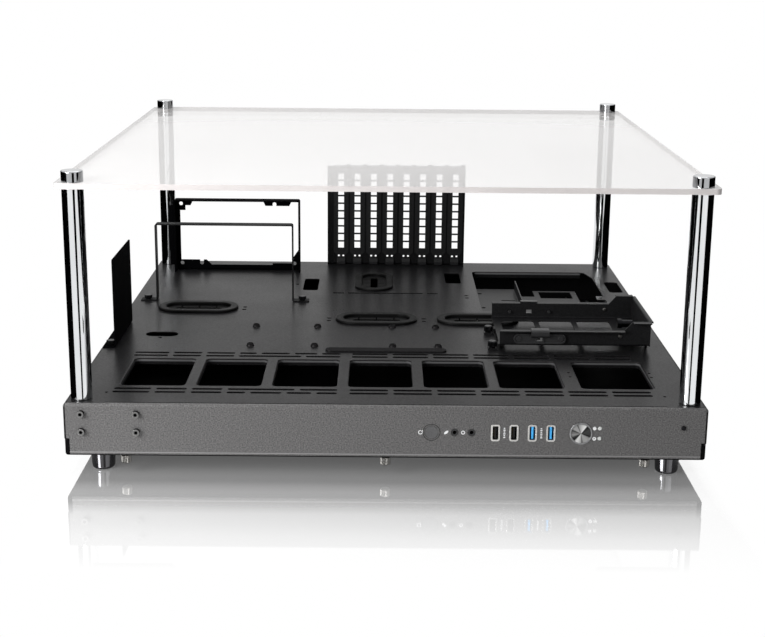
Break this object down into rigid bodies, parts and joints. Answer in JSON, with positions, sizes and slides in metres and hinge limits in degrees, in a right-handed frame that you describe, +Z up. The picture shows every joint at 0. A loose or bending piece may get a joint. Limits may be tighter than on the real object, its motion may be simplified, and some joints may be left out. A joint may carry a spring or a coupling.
{
  "type": "open air test bench",
  "caption": "Flat open computer frame: pierced black steel deck on a shallow box with feet, brackets for supply, cards and a drive, and a clear sheet held above on chrome posts.",
  "frame": {"origin": "on the floor under the middle of the bench", "axes": "+X to the right along the front panel, +Y to the rear, +Z up"},
  "size_m": [0.5698, 0.5736, 0.2723],
  "materials": {
    "acrylic": "clear cast acrylic with polished edges",
    "black_chrome": "dark polished chrome",
    "black_oxide": "black oxide",
    "black_plastic": "moulded black plastic",
    "blue_plastic": "moulded blue plastic",
    "board": "circuit board laminate",
    "bright_plastic": "bright plated ring",
    "brushed_metal": "radial brushed face",
    "chrome": "polished chrome",
    "lens": "milky lens",
    "nickel": "nickel plated",
    "powder_coat": "fine-textured black powder coat on folded steel",
    "rubber": "satin moulded rubber",
    "zinc": "zinc plated"
  },
  "bodies": {
    "bench": {"acrylic_panel": "acrylic", "audio_jack_1": "black_plastic", "audio_jack_2": "black_plastic", "bottom_cover": "powder_coat", "bracket_screws": "black_oxide", "bracket_thumbscrews": "black_oxide", "cover_thumbscrews": "nickel", "deck_panel": "powder_coat", "drive_clip_front": "black_plastic", "drive_clip_rear": "black_plastic", "drive_tray": "powder_coat", "foot_front_left": "black_chrome", "foot_front_right": "black_chrome", "foot_rear_left": "black_chrome", "foot_rear_right": "black_chrome", "foot_screws": "zinc", "front_panel": "powder_coat", "grommet_left": "rubber", "grommet_middle": "rubber", "grommet_rear": "rubber", "grommet_right": "rubber", "inner_drive_bracket": "powder_coat", "io_board": "board", "lamp_lenses": "lens", "pci_bracket": "powder_coat", "post_cap_front_left": "chrome", "post_cap_front_right": "chrome", "post_cap_rear_left": "chrome", "post_cap_rear_right": "chrome", "post_front_left": "chrome", "post_front_right": "chrome", "post_rear_left": "chrome", "post_rear_right": "chrome", "post_screws": "black_oxide", "power_button_ring": "bright_plastic", "psu_frame": "powder_coat", "psu_strap": "powder_coat", "side_support_plate": "powder_coat", "slot_cover_1": "powder_coat", "slot_cover_2": "powder_coat", "slot_cover_3": "powder_coat", "slot_cover_4": "powder_coat", "slot_cover_5": "powder_coat", "slot_cover_6": "powder_coat", "slot_cover_7": "powder_coat", "slot_cover_8": "powder_coat", "slot_screws": "black_oxide", "stand_screws": "black_oxide", "tray_end_screw": "nickel", "tray_thumbscrews": "black_oxide", "usb_insert_1": "black_plastic", "usb_insert_2": "black_plastic", "usb_insert_3": "blue_plastic", "usb_insert_4": "blue_plastic", "usb_shell_1": "nickel", "usb_shell_2": "nickel", "usb_shell_3": "nickel", "usb_shell_4": "nickel"},
    "power_button": {"power_button": "brushed_metal"},
    "reset_button": {"reset_button": "black_plastic"}
  },
  "joints": [
    {"name": "power_press", "type": "slide", "parent": "bench", "child": "power_button", "axis": [0, 1, 0], "range_m": [0, 0.0015], "stiffness_N_per_m": 1200},
    {"name": "reset_press", "type": "slide", "parent": "bench", "child": "reset_button", "axis": [0, 1, 0], "range_m": [0, 0.001], "stiffness_N_per_m": 1200}
  ]
}
